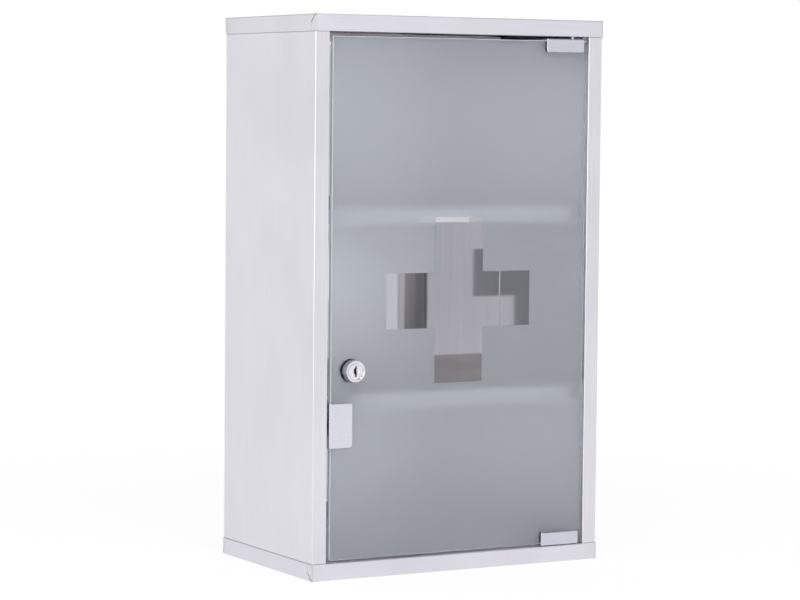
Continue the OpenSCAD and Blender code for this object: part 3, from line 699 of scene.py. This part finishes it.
def turned(name, axisAt, profile, segments=96):      # profile: radii and places along Y, round the section
    deselectAll()
    radius, y = profile[0]
    bpy.ops.mesh.primitive_circle_add(vertices=segments, radius=radius, location=(axisAt.x, y, axisAt.z),
                                      rotation=(math.pi / 2, 0, 0))
    piece = bpy.context.object
    piece.name = piece.data.name = name
    bpy.ops.object.transform_apply(location=True, rotation=True, scale=True)
    bpy.context.tool_settings.mesh_select_mode = (True, False, False)
    bpy.ops.object.mode_set(mode="EDIT")
    bpy.ops.mesh.select_all(action="SELECT")
    for nextRadius, nextY in (*profile[1:], profile[0]):
        bpy.ops.mesh.extrude_region_move(TRANSFORM_OT_translate={"value": (0, nextY - y, 0)})
        if nextRadius != radius:
            size = nextRadius / radius
            bpy.ops.transform.resize(value=(size, 1, size), center_override=(axisAt.x, nextY, axisAt.z))
        radius, y = nextRadius, nextY
    bpy.ops.mesh.select_all(action="SELECT")
    bpy.ops.mesh.remove_doubles(threshold=1e-6)
    bpy.ops.mesh.normals_make_consistent(inside=False)
    bpy.ops.object.mode_set(mode="OBJECT")
    return piece


# needle: a hair's radius at the axis, where a turned piece closes
lock = {"rim": 9.6 * mm, "body": 8 * mm, "bore": 6.05 * mm, "faceBore": 7.05 * mm, "ring": 7.65 * mm,
        "ringDeep": 1.5 * mm, "chamfer": 0.45 * mm, "seat": 2.6 * mm, "pitch": 1 * mm,
        "threadDeep": 0.45 * mm, "headEnd": 14 * mm, "flangeFrom": 13 * mm, "flangeEnd": 12 * mm,
        "threadFrom": 10 * mm, "needle": 0.02 * mm}


def makeHousing():
    low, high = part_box("lock_housing")
    face, end, c = low.y, high.y, lock["chamfer"]
    flange = (high.x - low.x) / 2
    arc = c * 0.3                             # where a 45 degree point of a rounded rim lies
    profile = [(lock["bore"], end), (lock["bore"], face + lock["seat"]),
               (lock["faceBore"], face + lock["seat"]), (lock["faceBore"], face + lock["ringDeep"]),
               (lock["ring"], face + lock["ringDeep"]), (lock["ring"], face + c / 2),
               (lock["ring"] + c / 2, face), (lock["rim"] - c, face), (lock["rim"] - arc, face + arc),
               (lock["rim"], face + c), (lock["rim"], end - lock["headEnd"]),
               (flange, end - lock["flangeFrom"]), (flange, end - lock["flangeEnd"]),
               (lock["body"], end - lock["flangeEnd"])]
    y = end - lock["threadFrom"]
    while y < end - lock["pitch"]:
        profile += [(lock["body"], y), (lock["body"] - lock["threadDeep"], y + lock["pitch"] / 2)]
        y += lock["pitch"]
    profile += [(lock["body"], end - c), (lock["body"] - c, end)]
    piece = turned("lock_barrel", lockAxis, profile)
    finishPiece(piece, "door", [chrome], ["lock_housing"])


# slots: how far the corner lies aside and up, then width, height and depth
plug = {"face": 7 * mm, "faceThick": 2.2 * mm, "barrel": 6 * mm, "border": 0.5 * mm,
        "borderDrop": 0.25 * mm, "tail": 6 * mm, "dimple": 2.2 * mm,
        "dimpleAt": (2 * mm, -1.3 * mm, 0.4 * mm), "spare": 1 * mm,
        "slots": [(-1 * mm, 2.4 * mm, 2 * mm, 2.3 * mm, 1.6 * mm),
                  (-2 * mm, -2 * mm, 2.7 * mm, 4.6 * mm, 13 * mm),
                  (-0.9 * mm, -5 * mm, 1.8 * mm, 3.4 * mm, 13 * mm)]}


def makePlug():
    low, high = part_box("lock_plug")
    face, end = low.y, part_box("lock_cam")[0].y
    b = plug["border"]
    profile = [(lock["needle"], end), (plug["barrel"], end), (plug["barrel"], face + plug["faceThick"]),
               (plug["face"], face + plug["faceThick"]), (plug["face"], face + plug["borderDrop"]),
               (plug["face"] - b, face), (lock["needle"], face)]
    piece = turned("plug_barrel", lockAxis, profile)
    tail = plug["tail"] / 2
    cutWith(piece, addBox("tail", (lockAxis.x - tail, end - plug["spare"], lockAxis.z - tail),
                          (lockAxis.x + tail, high.y, lockAxis.z + tail)), "UNION")
    for x, z, wide, tall, deep in plug["slots"]:
        cutWith(piece, addBox("slot", (lockAxis.x + x, face - plug["spare"], lockAxis.z + z),
                              (lockAxis.x + x + wide, face + deep, lockAxis.z + z + tall)))
    deselectAll()
    place = Vector((lockAxis.x, face, lockAxis.z)) + Vector(plug["dimpleAt"])
    bpy.ops.mesh.primitive_uv_sphere_add(segments=32, ring_count=24, radius=plug["dimple"], location=place)
    cutWith(piece, bpy.context.object)
    finishPiece(piece, "lock_plug", [chrome], ["lock_plug"])


nut = {"chamfer": 0.9 * mm, "drop": 0.45 * mm, "fit": 0.02 * mm, "cut": 20 * mm, "arris": 0.12 * mm}


def makeNut():
    low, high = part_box("lock_nut")
    radius = (high.x - low.x) / 2
    deselectAll()
    place = (lockAxis.x, centreOf("lock_nut").y, lockAxis.z)
    bpy.ops.mesh.primitive_cylinder_add(vertices=6, radius=radius, depth=high.y - low.y, location=place,
                                        rotation=(math.pi / 2, math.pi / 6, 0))
    piece = bpy.context.object
    piece.name = piece.data.name = "hex_nut"
    bpy.ops.object.transform_apply(location=True, rotation=True, scale=True)
    r, c, d = radius, nut["chamfer"], nut["drop"]
    disc = turned("disc", lockAxis, [(lock["needle"], low.y), (r - c, low.y), (r, low.y + d),
                                     (r, high.y - d), (r - c, high.y), (lock["needle"], high.y)])
    cutWith(piece, disc, "INTERSECT")
    drill(piece, (lockAxis.x, low.y, lockAxis.z), lock["body"] + nut["fit"], nut["cut"], segments=96)
    roundEdges(piece, nut["arris"], segments=2)
    finishPiece(piece, "door", [zincPlated], ["lock_nut"])


makeHousing()
makePlug()
makeNut()
print("lock")


# Camera

shot = {"place": (-1300.75 * mm, -2369.88 * mm, 421.66 * mm), "yaw": -0.51446, "pitch": 0.06911,
        "roll": 0.00936, "lens": 127.22}


def makeCamera():
    data = bpy.data.cameras.new("camera")
    data.lens = shot["lens"]
    camera = bpy.data.objects.new("camera", data)
    turn = Matrix.Rotation(shot["yaw"], 4, "Z") @ Matrix.Rotation(math.pi / 2 - shot["pitch"], 4, "X")
    camera.matrix_world = Matrix.Translation(shot["place"]) @ turn @ Matrix.Rotation(shot["roll"], 4, "Z")
    bpy.context.scene.collection.objects.link(camera)
    bpy.context.scene.camera = camera


makeCamera()


# Light, floor and background

# darkFrom and darkTo: degrees round the direction of the camera
studio = {"wall": "FFFFFF", "wallLevel": 0.96, "darkSide": "C9CEDA", "darkLevel": 0.24, "darkFrom": 14,
          "darkTo": 8, "ceiling": "A8A8AE", "ceilingFrom": 0.15, "ceilingTo": 0.6, "fill": 0.88}


# A white tent, dimmer overhead and dark round its opening. Mirrors and glass see the tent, matt surfaces
# get an even fill, and the camera sees plain white.
def makeWorld():
    world = bpy.data.worlds.new("studio")
    world.use_nodes = True
    bpy.context.scene.world = world
    tree = world.node_tree
    tree.nodes.clear()
    coords = addNode(tree, "ShaderNodeTexCoord").outputs["Generated"]
    toCamera = Vector((shot["place"][0], shot["place"][1], 0)).normalized()
    dot = addNode(tree, "ShaderNodeVectorMath", {1: toCamera}, {0: coords}, operation="DOT_PRODUCT")
    start, end = (math.cos(math.radians(studio[key])) for key in ("darkFrom", "darkTo"))
    dark = addNode(tree, "ShaderNodeMapRange", {"From Min": start, "From Max": end},
                   {"Value": dot.outputs["Value"]}, interpolation_type="SMOOTHSTEP").outputs["Result"]
    height = addNode(tree, "ShaderNodeSeparateXYZ", {}, {0: coords}).outputs[2]
    heights = {"From Min": studio["ceilingFrom"], "From Max": studio["ceilingTo"]}
    over = addNode(tree, "ShaderNodeMapRange", heights, {"Value": height},
                   interpolation_type="SMOOTHSTEP").outputs["Result"]
    colors = {6: linearColor(studio["wall"]), 7: linearColor(studio["ceiling"])}
    walls = addNode(tree, "ShaderNodeMix", colors, {0: over}, data_type="RGBA").outputs[2]
    tent = addNode(tree, "ShaderNodeMix", {7: linearColor(studio["darkSide"])}, {0: dark, 6: walls},
                   data_type="RGBA").outputs[2]
    levels = {"To Min": studio["wallLevel"], "To Max": studio["darkLevel"]}
    level = addNode(tree, "ShaderNodeMapRange", levels, {"Value": dark}).outputs["Result"]
    rays = addNode(tree, "ShaderNodeLightPath").outputs
    bounced = {0: rays["Is Glossy Ray"], 1: rays["Is Transmission Ray"]}
    mirrored = addNode(tree, "ShaderNodeMath", {}, bounced, operation="MAXIMUM").outputs[0]
    fill = addNode(tree, "ShaderNodeBackground",
                   {"Color": linearColor("FFFFFF"), "Strength": studio["fill"]})
    tentLight = addNode(tree, "ShaderNodeBackground", {}, {"Color": tent, "Strength": level})
    white = addNode(tree, "ShaderNodeBackground", {"Color": linearColor("FFFFFF"), "Strength": 1.0})
    seen = addNode(tree, "ShaderNodeMixShader", {},
                   {0: mirrored, 1: fill.outputs[0], 2: tentLight.outputs[0]})
    shown = addNode(tree, "ShaderNodeMixShader", {}, {0: rays["Is Camera Ray"], 1: seen.outputs[0],
                                                     2: white.outputs[0]})
    addNode(tree, "ShaderNodeOutputWorld", {}, {"Surface": shown.outputs[0]})


makeWorld()

ground = {"size": 2.2, "drop": 0.2 * mm, "sides": 96, "tones": ("E4E4E4", "E6E6E6"), "fade": (0.0, 1.0),
          "rough": 0.9, "cloud": 0.4, "glow": 0.9, "mirrorGlow": 0.5, "fadeFrom": 0.3, "fadeTo": 1.0}


# Pale matt floor that glows where it is seen: near the object a tenth of the floor and its shadow shows,
# further out only white. Mirrors and glass see half of that glow.
def makeFloor():
    deselectAll()
    bpy.ops.mesh.primitive_circle_add(vertices=ground["sides"], radius=ground["size"] / 2,
                                      fill_type="NGON", location=(0, 0, -ground["drop"]))
    floor = bpy.context.object
    floor.name = "floor"
    material, tree, shader, coords = startMaterial("paleFloor", {"Roughness": ground["rough"]})
    cloud = noiseAt(tree, coords, [ground["cloud"]] * 3)
    tintWith(tree, shader, cloud, ground["tones"], ground["fade"])
    rays = addNode(tree, "ShaderNodeLightPath").outputs
    bounced = {0: rays["Is Glossy Ray"], 1: rays["Is Transmission Ray"]}
    mirrored = addNode(tree, "ShaderNodeMath", {}, bounced, operation="MAXIMUM").outputs[0]
    dimmed = addNode(tree, "ShaderNodeMath", {1: ground["mirrorGlow"]}, {0: mirrored},
                     operation="MULTIPLY").outputs[0]
    seen = addNode(tree, "ShaderNodeMath", {}, {0: rays["Is Camera Ray"], 1: dimmed},
                   operation="MAXIMUM")
    away = addNode(tree, "ShaderNodeVectorMath", {}, {0: coords}, operation="LENGTH").outputs["Value"]
    fade = {"From Min": ground["fadeFrom"], "From Max": ground["fadeTo"], "To Min": ground["glow"]}
    glow = addNode(tree, "ShaderNodeMapRange", fade, {"Value": away}, interpolation_type="SMOOTHSTEP")
    share = addNode(tree, "ShaderNodeMath", {}, {0: seen.outputs[0], 1: glow.outputs["Result"]},
                    operation="MULTIPLY")
    light = addNode(tree, "ShaderNodeEmission", {"Color": linearColor("FFFFFF"), "Strength": 1.0})
    mix = addNode(tree, "ShaderNodeMixShader", {}, {0: share.outputs[0], 1: shader.outputs[0],
                                                   2: light.outputs[0]})
    tree.links.new(mix.outputs[0], tree.nodes["Material Output"].inputs["Surface"])
    floor.data.materials.append(material)


makeFloor()

lamps = {"left": {"place": (-1.9, -1.15, 0.8), "wide": 1.5, "tall": 1.6, "watts": 13.5},
         "top": {"place": (-0.5, -1.4, 1.9), "wide": 1.2, "tall": 0.8, "watts": 26}}
lampsAim = Vector((0, 0, 0.25))


def makeLamps():
    for name, lamp in lamps.items():
        data = bpy.data.lights.new(name, "AREA")
        data.shape = "RECTANGLE"
        data.size = lamp["wide"]
        data.size_y = lamp["tall"]
        data.energy = lamp["watts"]
        light = bpy.data.objects.new(name, data)
        turn = (lampsAim - Vector(lamp["place"])).to_track_quat("-Z", "Y")
        light.matrix_world = Matrix.Translation(lamp["place"]) @ turn.to_matrix().to_4x4()
        bpy.context.scene.collection.objects.link(light)


makeLamps()
bpy.context.scene.view_settings.view_transform = "Standard"
print("camera, lamps and floor")

deselectAll()
